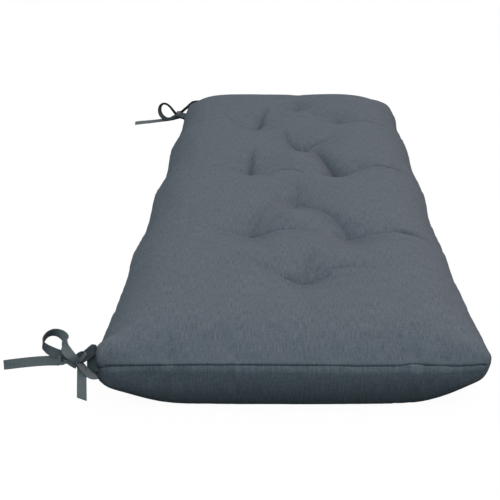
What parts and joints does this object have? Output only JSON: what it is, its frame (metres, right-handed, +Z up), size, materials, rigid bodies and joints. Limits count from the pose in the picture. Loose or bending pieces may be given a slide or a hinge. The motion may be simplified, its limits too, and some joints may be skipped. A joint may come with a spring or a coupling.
{
  "type": "bench cushion",
  "caption": "Long tufted bench cushion of plain woven cotton, crowned on top and flat where it rests, with ribbon ties in bows at the corners of one long side",
  "frame": {"origin": "Middle of the flat underside, on the surface the cushion rests on", "axes": "+Z up, +Y along the length towards the far end in the picture, -X towards the long side that carries the ties"},
  "size_m": [0.5101, 1.0276, 0.1103],
  "materials": {
    "slate_cotton": "matt slubby plain weave, slate blue-grey",
    "slate_ribbon": "matt woven ribbon, slate green-grey"
  },
  "bodies": {
    "root": {"cushion": "slate_cotton", "tie_near": "slate_ribbon", "tie_far": "slate_ribbon"}
  },
  "joints": []
}
